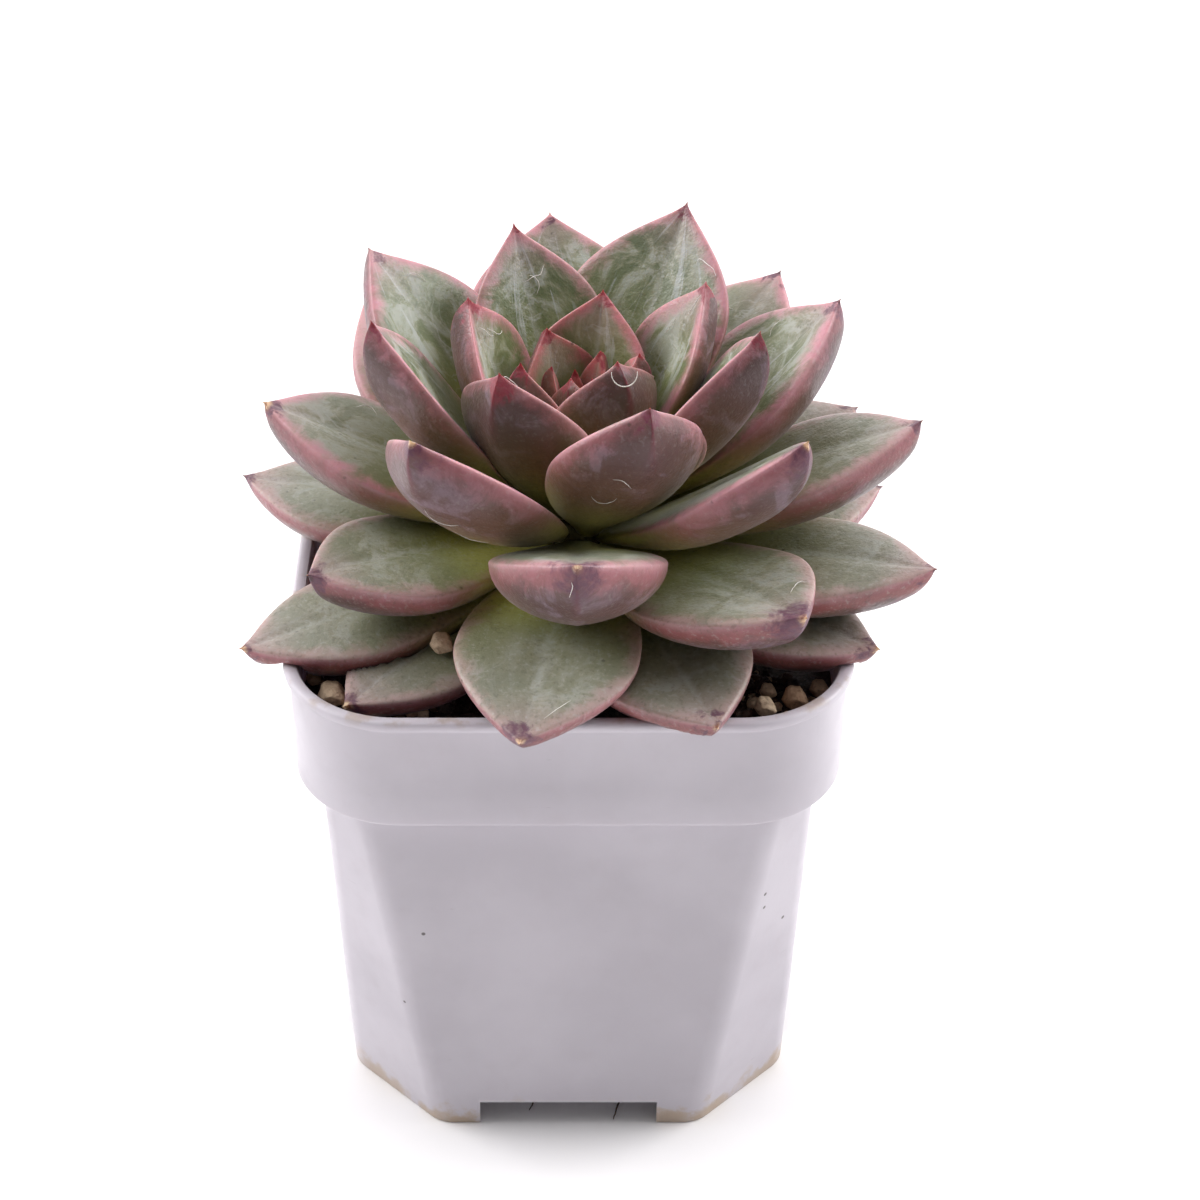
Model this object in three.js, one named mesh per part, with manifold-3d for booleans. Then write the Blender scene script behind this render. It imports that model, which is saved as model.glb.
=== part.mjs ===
// A rosette succulent in a small square nursery pot, as separate solids in millimetres, +Z up.
// The plant faces -Y with the front of the pot, and the part stands with its origin at the bottom centre.
import * as THREE from "three";
import { mergeVertices } from "three/addons/utils/BufferGeometryUtils.js";
import Module from "manifold-3d";

const wasm = await Module();
wasm.setup();

// ---- Driving dimensions ----
const GAP = 0.3; // clearance between pieces that touch
const LEAF_GAP = 0.56; // how much a leaf is grown to cut the leaves under it

const POT = {
  height: 76,
  lipHalf: 37.5, // half the width across the lip, which is the pot's widest place
  lipRadius: 15.6, // corner radius of the lip and the collar band
  lipHeight: 1.5,
  lipOut: 0.8, // how far the lip stands out from the band
  bandBottom: 58.5,
  topHalf: 33, // half the body's width where it meets the band
  baseHalf: 31.4,
  bodyRadius: 5, // of the body's eight corners
  wall: 1.2,
  footHeight: 4.9, // from the ground to the underside of the floor
  floor: 1.5,
  notchHalf: 12.65,
  notchHeight: 4.2,
  drain: 1.9, // radius of each drain hole
  drainStep: 13, // from the middle hole to the others, along each side
  bandTaper: 0.2, // how much narrower the band is at its foot
  lipRound: 0.5,
  lipSlope: 0.2, // height over which the lip widens from the band
  rimFlat: 1.6, // from the lip's outside to where its top starts to fall inwards
};
// Distance from the pot's axis to the chamfer facets, at the ground and at the step.
const CHAMFER = { base: 35.3, top: 42.6 };
const POT_STEPS = 32; // steps round an outline, four to each of its eight corners
const ROUND_STEPS = 16; // steps round a drain hole and the stem

const SOIL = { edge: 68.8, crown: 70, crownShare: 0.6 }; // the flat crown takes this share of its width

// The rosette's axis stands a little to the right of the pot's.
const ROSETTE_X = 1.2;
const LEAVES = 45;
const DIVERGENCE = -137; // degrees from one leaf to the next
const FIRST_TURN = 8; // direction that leaf 0 would have
// How the leaves grow from the centre outwards: the tip's distance from the axis and its height, the place where
// the leaf leaves the stem, its greatest half-width and thickness, how far its margins rise and how drawn out its
// tip is.
const STAGES = [
  { leaf: 1, reach: 1.2, tip: 104.3, root: 0.9, base: 92, half: 1.3, thick: 1.3, cup: 0.1, cusp: 1.3 },
  { leaf: 5, reach: 4.2, tip: 107.3, root: 1.8, base: 90.5, half: 2.9, thick: 2.1, cup: 0.25, cusp: 1.3 },
  { leaf: 10, reach: 10.2, tip: 112, root: 3, base: 88.3, half: 7, thick: 4, cup: 0.3, cusp: 1.3 },
  { leaf: 15, reach: 22.3, tip: 116.5, root: 4, base: 86.2, half: 9.4, thick: 5.4, cup: 0.22, cusp: 1.28 },
  { leaf: 20, reach: 32.5, tip: 114.5, root: 4.6, base: 84.3, half: 11, thick: 6.6, cup: 0.14, cusp: 1.18 },
  { leaf: 25, reach: 39.5, tip: 106.5, root: 5, base: 82.8, half: 11.6, thick: 7.4, cup: 0.07, cusp: 1.1 },
  { leaf: 30, reach: 42.5, tip: 96, root: 5.2, base: 81.8, half: 12, thick: 7.4, cup: 0.04, cusp: 1.1 },
  { leaf: 37, reach: 47, tip: 83, root: 5.4, base: 80.4, half: 12, thick: 6.6, cup: 0.02, cusp: 1.1 },
  { leaf: 45, reach: 45, tip: 75.5, root: 5.6, base: 78.8, half: 9.6, thick: 5, cup: 0.02, cusp: 1.1 },
];
// Leaves that grew a little off the rule, in degrees and millimetres. As shares of a leaf's length, curl lets its
// middle sag and bow bends it sideways, against the clock.
const NUDGES = {
  2: { turn: 6 },
  6: { turn: -10, reach: -1.5, tip: -1.5 },
  7: { half: 1.8, tip: 0.3 },
  8: { turn: -3, reach: 0.5, tip: -0.8, half: 0.8 },
  9: { turn: -4, tip: -1.6 },
  10: { turn: -8, tip: 0.8, half: 1 },
  11: { reach: -2.5, tip: -1, half: 0.4, bow: 0.03 },
  12: { turn: 1, tip: 0.7, half: 0.4, curl: 0.045 },
  13: { turn: -5, reach: 1, tip: 0.5, half: -0.5, bow: -0.03 },
  14: { turn: -12, reach: -1.1, tip: -1.3, half: 0.8, cup: -0.08, curl: 0.015 },
  15: { tip: 0.4 },
  16: { reach: 1, tip: 1, curl: 0.015 },
  17: { turn: -3, reach: 1, tip: 1.5, thick: -0.6, curl: 0.04 },
  18: { turn: -4, tip: 3, half: 2 },
  19: { turn: 4, reach: -3.5, half: -0.4, cup: -0.12 },
  20: { turn: 0.8, reach: 0.4, tip: 0.5, half: 0.4 },
  21: { reach: 1.6, tip: -0.4, half: 0.4, curl: 0.01 },
  22: { reach: -0.4, tip: 0.7, half: 0.4, thick: -1, cup: -0.03, curl: 0.03 },
  23: { turn: -1, tip: 0.9, half: 2 },
  24: { turn: -2, tip: 2, half: -1.2, thick: -1.4, cup: -0.08, curl: 0.03 },
  25: { turn: -3, reach: 2, tip: -5.5, half: -0.6, thick: -1 },
  26: { turn: -4, reach: -2, tip: 2.6, half: 0.4 },
  27: { turn: 0.7, reach: -1.5, tip: -1.5, half: -0.4, thick: 0.3, cup: -0.055, curl: 0.02 },
  28: { turn: 1.5, reach: 2.3 },
  29: { turn: -4, reach: 3.5, tip: 4, half: -1.5, thick: -0.8 },
  30: { turn: -5, reach: -1.2, tip: -7.8, half: -1, thick: -1, curl: -0.015 },
  31: { tip: 0.5 },
  32: { turn: 5, reach: 1.2, tip: -2, thick: -0.8 },
  33: { turn: 4, reach: 2, tip: -5.5, half: -1.6, thick: -1 },
  34: { turn: -9, reach: -3.5, tip: 3 },
  35: { turn: 8, reach: 1, tip: -7.3, thick: -1.2, curl: -0.05, bow: 0.026 },
  37: { turn: -3, reach: 3.5, tip: 5, half: -1.5 },
  38: { turn: 6, reach: 2.8, tip: -4.7, half: -1.8, thick: 0.2, curl: 0.015 },
  40: { turn: 5.2, reach: -2, tip: -2.5, half: 0.3, thick: 0.2, curl: -0.01 },
  42: { reach: -2, tip: 3 },
  43: { turn: -10, reach: -1.7, tip: -2.6, half: -1, thick: 0.2, curl: 0.015 },
  44: { tip: 5 },
  45: { turn: 5, reach: 1, tip: 2.6, half: -0.4, thick: 1 },
};
const BLADE = {
  baseHalf: 2, // half-width of a grown leaf where it leaves the stem
  baseThick: 1.8,
  baseShare: 0.7, // the most of its width and thickness that a small leaf has there
  widest: 0.6, // where along the leaf it is widest
  crown: 0.12, // rise of the upper face, as a share of the thickness
  keel: 0.6, // how far the under face sharpens into a keel towards the tip
  keelFrom: 0.5,
  keelTo: 1.1,
};
const LEAF_RINGS = 8;
const LEAF_SIDES = 10;
const RING_CROWDING = 1.25; // over 1, the rings stand closer towards the tip

// Over its shoulder the stem narrows inside the leaves' roots, by inset, and ends a little under them, by sink.
const STEM = { foot: 64, radius: 4.7, shoulder: 79, inset: 0.75, sink: 1.2 };

// Each grain's place and size, and how far over the soil it lies where a leaf carries it.
const GRAINS = [
  { x: -33.8, y: -21, size: 2.4 },
  { x: -31, y: -25.6, size: 4.2 },
  { x: -28.2, y: -23, size: 3 },
  { x: -28.4, y: -27.4, size: 2.8 },
  { x: -16.5, y: -23.5, size: 3.4, lift: 7 },
  { x: 26.2, y: -24, size: 2.6 },
  { x: 29.6, y: -26.2, size: 3.6 },
  { x: 33, y: -23.6, size: 2.8 },
  { x: 25.6, y: -27.6, size: 2.8 },
  { x: 28.6, y: -30.4, size: 2.6 },
];

// ---- Solids ----
function toSolid(geometry) {
  const bare = geometry.clone();
  bare.deleteAttribute("normal");
  bare.deleteAttribute("uv");
  const merged = mergeVertices(bare, 1e-4);
  return new wasm.Manifold(
    new wasm.Mesh({
      numProp: 3,
      vertProperties: merged.attributes.position.array,
      triVerts: new Uint32Array(merged.index.array),
    }),
  );
}

function toGeometry(solid) {
  const mesh = solid.getMesh();
  return new THREE.BufferGeometry()
    .setAttribute("position", new THREE.BufferAttribute(mesh.vertProperties.slice(), 3))
    .setIndex(new THREE.BufferAttribute(mesh.triVerts.slice(), 1));
}

// A cut can leave loose slivers, so only the largest body is kept.
function largestBody(solid) {
  const bodies = solid.decompose();
  return bodies.reduce((best, body) => (body.volume() > best.volume() ? body : best));
}

// Moves every vertex of a geometry to place(vertex, uv).
function remap(geometry, place) {
  const { position, uv } = geometry.attributes;
  const vertex = new THREE.Vector3();
  const coordinates = new THREE.Vector2();
  for (let i = 0; i < position.count; i++) {
    vertex.fromBufferAttribute(position, i);
    coordinates.fromBufferAttribute(uv, i);
    const moved = place(vertex, coordinates);
    position.setXYZ(i, moved.x, moved.y, moved.z);
  }
  return geometry;
}

// ---- Pot outlines ----
// A square with chamfered corners, as the point that each step round it reaches. half is the distance from the axis
// to its sides and chamfer to its corner facets, and each of its eight corners is an arc of the given radius.
function outlinePoint(step, { half, chamfer, radius }) {
  const perQuarter = POT_STEPS / 4;
  const quarter = Math.floor(step / perQuarter);
  const inQuarter = step % perQuarter;
  const near = half - radius;
  const far = Math.SQRT2 * (chamfer - radius) - near;
  const second = inQuarter >= perQuarter / 2; // the quarter's first corner ends its side, the second its facet
  const arcStep = second ? inQuarter - 1 : inQuarter;
  const angle = (arcStep / (perQuarter - 2)) * (Math.PI / 2);
  const centre = second ? new THREE.Vector2(far, near) : new THREE.Vector2(near, far);
  const point = new THREE.Vector2(Math.cos(angle), Math.sin(angle)).multiplyScalar(radius).add(centre);
  return point.rotateAround(new THREE.Vector2(), (quarter * Math.PI) / 2);
}

// The body's outline at a height, moved in by inset.
function bodyOutline(height, inset) {
  const share = height / POT.bandBottom;
  const half = THREE.MathUtils.lerp(POT.baseHalf, POT.topHalf, share);
  const chamfer = THREE.MathUtils.lerp(CHAMFER.base, CHAMFER.top, share);
  return { half: half - inset, chamfer: chamfer - inset, radius: POT.bodyRadius - inset };
}

// A square with round corners is one whose facets have shrunk to almost nothing.
function bandOutline(inset) {
  const [half, radius] = [POT.lipHalf - inset, POT.lipRadius - inset];
  return { half, radius, chamfer: (half - radius) * Math.SQRT2 + radius - 0.1 };
}

// A closed solid whose levels are outlines, or null on the axis, listed from the axis under it to the axis over it.
function outlineSolid(levels) {
  const profile = levels.map(({ z, outline }) => new THREE.Vector2(outline ? 1 : 0, z));
  const lathe = new THREE.LatheGeometry(profile, POT_STEPS);
  const { position } = lathe.attributes;
  for (let i = 0; i < position.count; i++) {
    const { z, outline, scale = 1 } = levels[i % levels.length];
    const step = Math.floor(i / levels.length) % POT_STEPS;
    const point = outline ? outlinePoint(step, outline).multiplyScalar(scale) : new THREE.Vector2();
    position.setXYZ(i, point.x, point.y, z);
  }
  return toSolid(lathe);
}

function material(color, roughness) {
  return new THREE.MeshStandardMaterial({ color, roughness, metalness: 0 });
}

function named(name, geometry, look) {
  const mesh = new THREE.Mesh(geometry, look);
  mesh.name = name;
  return mesh;
}

// ---- Pot ----
function makePot() {
  const { height, lipHeight, lipOut, lipRound, lipSlope, rimFlat } = POT;
  const { bandBottom, bandTaper, wall, footHeight, floor } = POT;
  const lipBottom = height - lipHeight;
  const levels = [
    { z: footHeight, outline: null },
    { z: footHeight, outline: bodyOutline(footHeight, wall) },
    { z: 0, outline: bodyOutline(0, wall) },
    { z: 0, outline: bodyOutline(0, 0) },
    { z: bandBottom, outline: bodyOutline(bandBottom, 0) },
    { z: bandBottom, outline: bandOutline(lipOut + bandTaper + lipRound) },
    { z: bandBottom + lipRound, outline: bandOutline(lipOut + bandTaper) },
    { z: lipBottom, outline: bandOutline(lipOut) },
    { z: lipBottom + lipSlope, outline: bandOutline(0) },
    { z: height - lipRound, outline: bandOutline(0) },
    { z: height, outline: bandOutline(lipRound) },
    { z: height, outline: bandOutline(rimFlat) },
    { z: height - lipRound, outline: bandOutline(lipOut + wall) },
    { z: bandBottom + wall, outline: bandOutline(lipOut + wall) },
    { z: bandBottom + wall, outline: bodyOutline(bandBottom, wall) },
    { z: footHeight + floor, outline: bodyOutline(footHeight, wall) },
    { z: footHeight + floor, outline: null },
  ];
  let pot = outlineSolid(levels);

  const through = 4 * POT.baseHalf;
  for (const quarter of [0, 1]) {
    const notch = new THREE.BoxGeometry(2 * POT.notchHalf, through, 2 * POT.notchHeight);
    notch.rotateZ((quarter * Math.PI) / 2);
    pot = pot.subtract(toSolid(notch));
  }
  const drainPlaces = [[0, 0], [1, 1], [-1, 1], [-1, -1], [1, -1]];
  for (const [x, y] of drainPlaces) {
    const hole = new THREE.CylinderGeometry(POT.drain, POT.drain, 4 * floor, ROUND_STEPS);
    hole.rotateX(Math.PI / 2);
    hole.translate(x * POT.drainStep, y * POT.drainStep, footHeight + floor / 2);
    pot = pot.subtract(toSolid(hole));
  }
  return named("pot", toGeometry(pot), material(0xf2eef2, 0.42));
}

// ---- Soil ----
function makeSoil() {
  const inset = POT.wall + GAP;
  const bottom = POT.footHeight + POT.floor + GAP;
  const shelf = POT.bandBottom + POT.wall + GAP;
  const levels = [
    { z: bottom, outline: null },
    { z: bottom, outline: bodyOutline(bottom, inset) },
    { z: shelf, outline: bodyOutline(POT.bandBottom, inset) },
    { z: shelf, outline: bandOutline(POT.lipOut + inset) },
    { z: SOIL.edge, outline: bandOutline(POT.lipOut + inset) },
    { z: SOIL.crown, outline: bandOutline(POT.lipOut + inset), scale: SOIL.crownShare },
    { z: SOIL.crown, outline: null },
  ];
  const stemDepth = SOIL.crown - STEM.foot + GAP;
  const socket = new THREE.CylinderGeometry(STEM.radius + GAP, STEM.radius + GAP, 2 * stemDepth, ROUND_STEPS);
  socket.rotateX(Math.PI / 2);
  socket.translate(ROSETTE_X, 0, SOIL.crown);
  const soil = outlineSolid(levels).subtract(toSolid(socket));
  return named("soil", toGeometry(soil), material(0x2a211d, 0.95));
}

// ---- Rosette ----
// A leaf's growth values, between the two stages on either side of it.
function growth(number) {
  const next = Math.max(1, STAGES.findIndex((stage) => stage.leaf >= number));
  const [low, high] = [STAGES[next - 1], STAGES[next]];
  const share = (number - low.leaf) / (high.leaf - low.leaf);
  const value = (key) => THREE.MathUtils.lerp(low[key], high[key], share);
  const nudge = { turn: 0, reach: 0, tip: 0, half: 0, thick: 0, cup: 0, curl: 0, bow: 0, ...NUDGES[number] };
  return {
    turn: THREE.MathUtils.degToRad(FIRST_TURN + DIVERGENCE * number + nudge.turn),
    reach: value("reach") + nudge.reach,
    tip: value("tip") + nudge.tip,
    root: value("root"),
    base: value("base"),
    half: value("half") + nudge.half,
    thick: value("thick") + nudge.thick,
    cup: value("cup") + nudge.cup,
    cusp: value("cusp"),
    curl: nudge.curl,
    bow: nudge.bow,
  };
}

// From the stem, share 0, to the tip, share 1: the blade widens to its widest place and closes in a point.
function halfWidth(leaf, share) {
  const narrow = Math.min(BLADE.baseHalf, BLADE.baseShare * leaf.half);
  if (share < BLADE.widest) {
    return narrow + (leaf.half - narrow) * Math.sin((share / BLADE.widest) * (Math.PI / 2)) ** 1.1;
  }
  const beyond = (share - BLADE.widest) / (1 - BLADE.widest);
  return leaf.half * (1 - beyond ** 2.1) ** leaf.cusp;
}

function thickness(leaf, share) {
  const thin = Math.min(BLADE.baseThick, BLADE.baseShare * leaf.thick);
  if (share < BLADE.widest) {
    return thin + (leaf.thick - thin) * Math.sin((share / BLADE.widest) * (Math.PI / 2)) ** 1.6;
  }
  const beyond = (share - BLADE.widest) / (1 - BLADE.widest);
  return leaf.thick * (1 - beyond ** 3) ** 0.7;
}

// One leaf before it is cut by its neighbours, in the rosette's own frame. grow makes it fatter on every side.
function leafSolid(leaf, grow = 0) {
  const chord = new THREE.Vector2(leaf.reach - leaf.root, leaf.tip - leaf.base);
  const length = chord.length();
  const along = chord.clone().divideScalar(length);
  const above = new THREE.Vector2(-along.y, along.x);
  const blade = new THREE.SphereGeometry(1, LEAF_SIDES, LEAF_RINGS);
  remap(blade, (_, uv) => {
    const ring = (1 - uv.y) * LEAF_RINGS;
    const step = Math.max(0, (ring - 1) / (LEAF_RINGS - 1));
    const share = 1 - (1 - step) ** RING_CROWDING;
    const closed = ring < 0.5 || ring > LEAF_RINGS - 0.5;
    const angle = -2 * Math.PI * uv.x;
    const side = closed ? 0 : Math.cos(angle);
    const top = closed ? 0 : Math.sin(angle);
    const half = halfWidth(leaf, share);
    const keel = BLADE.keel * THREE.MathUtils.smoothstep(share, BLADE.keelFrom, BLADE.keelTo);
    const under = (1 - keel) * Math.abs(top) + keel * (1 - Math.abs(side));
    const depth = top > 0 ? BLADE.crown * leaf.thick * top : -thickness(leaf, share) * under;
    const sag = leaf.curl * length * 4 * share * (1 - share);
    const up = side ** 2 * leaf.cup * half + (closed ? 0 : depth) + grow * top - sag;
    const beyond = share === 0 ? -grow : share === 1 ? grow : 0;
    const out = length * share + beyond;
    return new THREE.Vector3(
      leaf.root + along.x * out + above.x * up,
      side * (half + grow) + leaf.bow * length * 4 * share * (1 - share),
      leaf.base + along.y * out + above.y * up,
    );
  });
  blade.rotateZ(leaf.turn);
  return toSolid(blade);
}

// The pot's rim, grown by the gap, for the leaves that rest on it.
function rimSolid() {
  const top = POT.height + GAP;
  const levels = [
    { z: POT.bandBottom, outline: null },
    { z: POT.bandBottom, outline: bandOutline(-GAP) },
    { z: top, outline: bandOutline(-GAP) },
    { z: top, outline: bandOutline(POT.lipOut + POT.wall + GAP) },
    { z: POT.bandBottom + POT.wall, outline: bandOutline(POT.lipOut + POT.wall + GAP) },
    { z: POT.bandBottom + POT.wall, outline: null },
  ];
  return outlineSolid(levels).translate([-ROSETTE_X, 0, 0]);
}

// Leaves are made from the centre outwards. Each lies under the ones before it, and is cut where they press on it.
function makeLeaves() {
  const look = material(0x7f8d74, 0.55);
  const made = [rimSolid()];
  const meshes = [];
  for (let number = 1; number <= LEAVES; number++) {
    const leaf = growth(number);
    let solid = leafSolid(leaf);
    for (const inner of made) solid = solid.subtract(inner);
    made.push(leafSolid(leaf, LEAF_GAP));
    const geometry = toGeometry(largestBody(solid));
    geometry.rotateZ(-leaf.turn);
    const mesh = named(`leaf_${String(number).padStart(2, "0")}`, geometry, look.clone());
    mesh.rotation.z = leaf.turn;
    meshes.push(mesh);
  }
  return meshes;
}

function makeStem() {
  const narrowing = STAGES.filter((stage) => stage.base > STEM.shoulder).reverse();
  const profile = [
    new THREE.Vector2(0, STEM.foot),
    new THREE.Vector2(STEM.radius, STEM.foot),
    new THREE.Vector2(STEM.radius, STEM.shoulder),
    ...narrowing.map((stage) => new THREE.Vector2(stage.root - STEM.inset, stage.base - STEM.sink)),
    new THREE.Vector2(0, STAGES[0].base - STEM.sink / 2),
  ];
  const stem = new THREE.LatheGeometry(profile, ROUND_STEPS);
  stem.rotateX(Math.PI / 2);
  return named("stem", toGeometry(toSolid(stem)), material(0x8a8f62, 0.7));
}

// ---- Gravel ----
// A grain is a lumpy ball, flattened to these shares of its size, that has sunk a little into the soil.
const GRAIN = { deep: 0.86, high: 0.72, lumps: 0.12, bed: 0.42 };

function makeGrain({ x, y, size, lift = 0 }, index) {
  const grain = new THREE.IcosahedronGeometry(size / 2, 1);
  const { position } = grain.attributes;
  const vertex = new THREE.Vector3();
  for (let i = 0; i < position.count; i++) {
    vertex.fromBufferAttribute(position, i);
    const lump = Math.sin(1.7 * vertex.x + index) * Math.cos(1.3 * vertex.y - 2 * index);
    vertex.multiplyScalar(1 + GRAIN.lumps * lump);
    position.setXYZ(i, vertex.x, GRAIN.deep * vertex.y, GRAIN.high * vertex.z);
  }
  const mesh = named(`gravel_${String(index + 1).padStart(2, "0")}`, grain, material(0xb08d6c, 0.85));
  mesh.position.set(x, y, SOIL.crown + GAP + GRAIN.bed * size + lift);
  mesh.rotation.z = index;
  return mesh;
}

// ---- Assembly ----
const rosette = new THREE.Group();
rosette.position.x = ROSETTE_X;
rosette.add(makeStem(), ...makeLeaves());

const plant = new THREE.Group();
plant.add(makePot(), makeSoil(), rosette, ...GRAINS.map(makeGrain));

const box = new THREE.Box3().setFromObject(plant);
plant.position.set(-(box.min.x + box.max.x) / 2, -(box.min.y + box.max.y) / 2, -box.min.z);

const part = new THREE.Group();
part.add(plant);
export default part;
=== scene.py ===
import math
import random

import bmesh
import bpy
import numpy as np
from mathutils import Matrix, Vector, noise


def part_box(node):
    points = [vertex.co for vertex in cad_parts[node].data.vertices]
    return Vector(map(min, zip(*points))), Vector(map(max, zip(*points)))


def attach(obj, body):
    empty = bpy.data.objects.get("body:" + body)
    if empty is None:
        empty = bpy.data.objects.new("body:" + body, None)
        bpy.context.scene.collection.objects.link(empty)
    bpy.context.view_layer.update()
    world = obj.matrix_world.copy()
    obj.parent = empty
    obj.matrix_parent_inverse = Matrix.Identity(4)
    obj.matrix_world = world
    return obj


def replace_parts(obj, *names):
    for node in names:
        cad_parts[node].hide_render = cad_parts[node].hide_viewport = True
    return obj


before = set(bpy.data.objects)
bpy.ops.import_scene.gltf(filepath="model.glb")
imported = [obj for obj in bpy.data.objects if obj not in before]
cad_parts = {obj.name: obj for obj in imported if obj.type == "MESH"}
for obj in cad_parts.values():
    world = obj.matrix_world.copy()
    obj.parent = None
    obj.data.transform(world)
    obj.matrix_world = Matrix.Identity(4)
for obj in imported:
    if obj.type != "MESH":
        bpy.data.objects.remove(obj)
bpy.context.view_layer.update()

# A rosette succulent in a small square nursery pot. Lengths are in millimetres until a mesh is made.
MM = 0.001
pot_low, pot_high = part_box("pot")
AXIS = (pot_low + pot_high) / 2 / MM  # the pot's axis
AXIS.z = 0
ROSETTE = AXIS + Vector((1.2, 0, 0))
SEED = 20

# ---- The same driving dimensions as the solids ----
POT = dict(
    height=76, lip_half=37.5, lip_radius=15.6, lip_height=1.5, lip_out=0.8, band_bottom=58.5, top_half=33,
    base_half=31.4, body_radius=5, wall=1.2, foot_height=4.9, floor=1.5, notch_half=12.65, notch_height=4.2,
    drain=1.9, drain_step=13,
)
CHAMFER_BASE = 35.3
CHAMFER_TOP = 42.6
SOIL_EDGE = 68.8
SOIL_CROWN = 70
GAP = 0.3
LEAVES = 45
DIVERGENCE = -137
FIRST_TURN = 8
STAGE_KEYS = ("leaf", "reach", "tip", "root", "base", "half", "thick", "cup", "cusp")
STAGES = [
    (1, 1.2, 104.3, 0.9, 92, 1.3, 1.3, 0.1, 1.3),
    (5, 4.2, 107.3, 1.8, 90.5, 2.9, 2.1, 0.25, 1.3),
    (10, 10.2, 112, 3, 88.3, 7, 4, 0.3, 1.3),
    (15, 22.3, 116.5, 4, 86.2, 9.4, 5.4, 0.22, 1.28),
    (20, 32.5, 114.5, 4.6, 84.3, 11, 6.6, 0.14, 1.18),
    (25, 39.5, 106.5, 5, 82.8, 11.6, 7.4, 0.07, 1.1),
    (30, 42.5, 96, 5.2, 81.8, 12, 7.4, 0.04, 1.1),
    (37, 47, 83, 5.4, 80.4, 12, 6.6, 0.02, 1.1),
    (45, 45, 75.5, 5.6, 78.8, 9.6, 5, 0.02, 1.1),
]
NUDGES = {
    2: dict(turn=6),
    6: dict(turn=-10, reach=-1.5, tip=-1.5),
    7: dict(half=1.8, tip=0.3),
    8: dict(turn=-3, reach=0.5, tip=-0.8, half=0.8),
    9: dict(turn=-4, tip=-1.6),
    10: dict(turn=-8, tip=0.8, half=1),
    11: dict(reach=-2.5, tip=-1, half=0.4, bow=0.03),
    12: dict(turn=1, tip=0.7, half=0.4, curl=0.045),
    13: dict(turn=-5, reach=1, tip=0.5, half=-0.5, bow=-0.03),
    14: dict(turn=-12, reach=-1.1, tip=-1.3, half=0.8, cup=-0.08, curl=0.015),
    15: dict(tip=0.4),
    16: dict(reach=1, tip=1, curl=0.015),
    17: dict(turn=-3, reach=1, tip=1.5, thick=-0.6, curl=0.04),
    18: dict(turn=-4, tip=3, half=2),
    19: dict(turn=4, reach=-3.5, half=-0.4, cup=-0.12),
    20: dict(turn=0.8, reach=0.4, tip=0.5, half=0.4),
    21: dict(reach=1.6, tip=-0.4, half=0.4, curl=0.01),
    22: dict(reach=-0.4, tip=0.7, half=0.4, thick=-1, cup=-0.03, curl=0.03),
    23: dict(turn=-1, tip=0.9, half=2),
    24: dict(turn=-2, tip=2, half=-1.2, thick=-1.4, cup=-0.08, curl=0.03),
    25: dict(turn=-3, reach=2, tip=-5.5, half=-0.6, thick=-1),
    26: dict(turn=-4, reach=-2, tip=2.6, half=0.4),
    27: dict(turn=0.7, reach=-1.5, tip=-1.5, half=-0.4, thick=0.3, cup=-0.055, curl=0.02),
    28: dict(turn=1.5, reach=2.3),
    29: dict(turn=-4, reach=3.5, tip=4, half=-1.5, thick=-0.8),
    30: dict(turn=-5, reach=-1.2, tip=-7.8, half=-1, thick=-1, curl=-0.015),
    31: dict(tip=0.5),
    32: dict(turn=5, reach=1.2, tip=-2, thick=-0.8),
    33: dict(turn=4, reach=2, tip=-5.5, half=-1.6, thick=-1),
    34: dict(turn=-9, reach=-3.5, tip=3),
    35: dict(turn=8, reach=1, tip=-7.3, thick=-1.2, curl=-0.05, bow=0.026),
    37: dict(turn=-3, reach=3.5, tip=5, half=-1.5),
    38: dict(turn=6, reach=2.8, tip=-4.7, half=-1.8, thick=0.2, curl=0.015),
    40: dict(turn=5.2, reach=-2, tip=-2.5, half=0.3, thick=0.2, curl=-0.01),
    42: dict(reach=-2, tip=3),
    43: dict(turn=-10, reach=-1.7, tip=-2.6, half=-1, thick=0.2, curl=0.015),
    44: dict(tip=5),
    45: dict(turn=5, reach=1, tip=2.6, half=-0.4, thick=1),
}
BASE_HALF = 2
BASE_THICK = 1.8
WIDEST = 0.6
# How leaves have aged: the reach of the dark stain round a tip, in millimetres, and the leaves with a dried tip.
STAINS = {
    10: 2.2, 12: 3, 13: 3, 14: 3, 19: 2.6, 22: 4.2, 24: 5, 25: 2.6, 27: 4.4, 29: 2.6, 30: 3.6, 32: 5.4, 33: 2.2,
    35: 3, 37: 2.2, 38: 2.4, 40: 2.6, 43: 3, 45: 2.4,
}
DRIED = (22, 24, 25, 27, 32, 35, 38, 40, 43, 45)


# ---- Camera ----
ELEVATION = math.radians(34.193)
SENSOR = 36
LENS = 82.85
SHIFT = 0.0263
STAND = Vector((0, -317.6, 285.35))  # from the foot of the pot's axis
camera = bpy.data.objects.new("camera", bpy.data.cameras.new("camera"))
bpy.context.scene.collection.objects.link(camera)
camera.data.sensor_width = SENSOR
camera.data.lens = LENS
camera.data.shift_x = SHIFT
camera.data.clip_start = 0.01
camera.location = (AXIS + STAND) * MM
camera.rotation_euler = (math.pi / 2 - ELEVATION, 0, 0)
bpy.context.scene.camera = camera


# ---- Node materials ----
def rgb(red, green, blue):
    """A display colour, 0 to 255 a channel, as the linear colour a shader takes."""
    shares = (red / 255, green / 255, blue / 255)
    linear = [c / 12.92 if c <= 0.04045 else ((c + 0.055) / 1.055) ** 2.4 for c in shares]
    return (*linear, 1)


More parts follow.
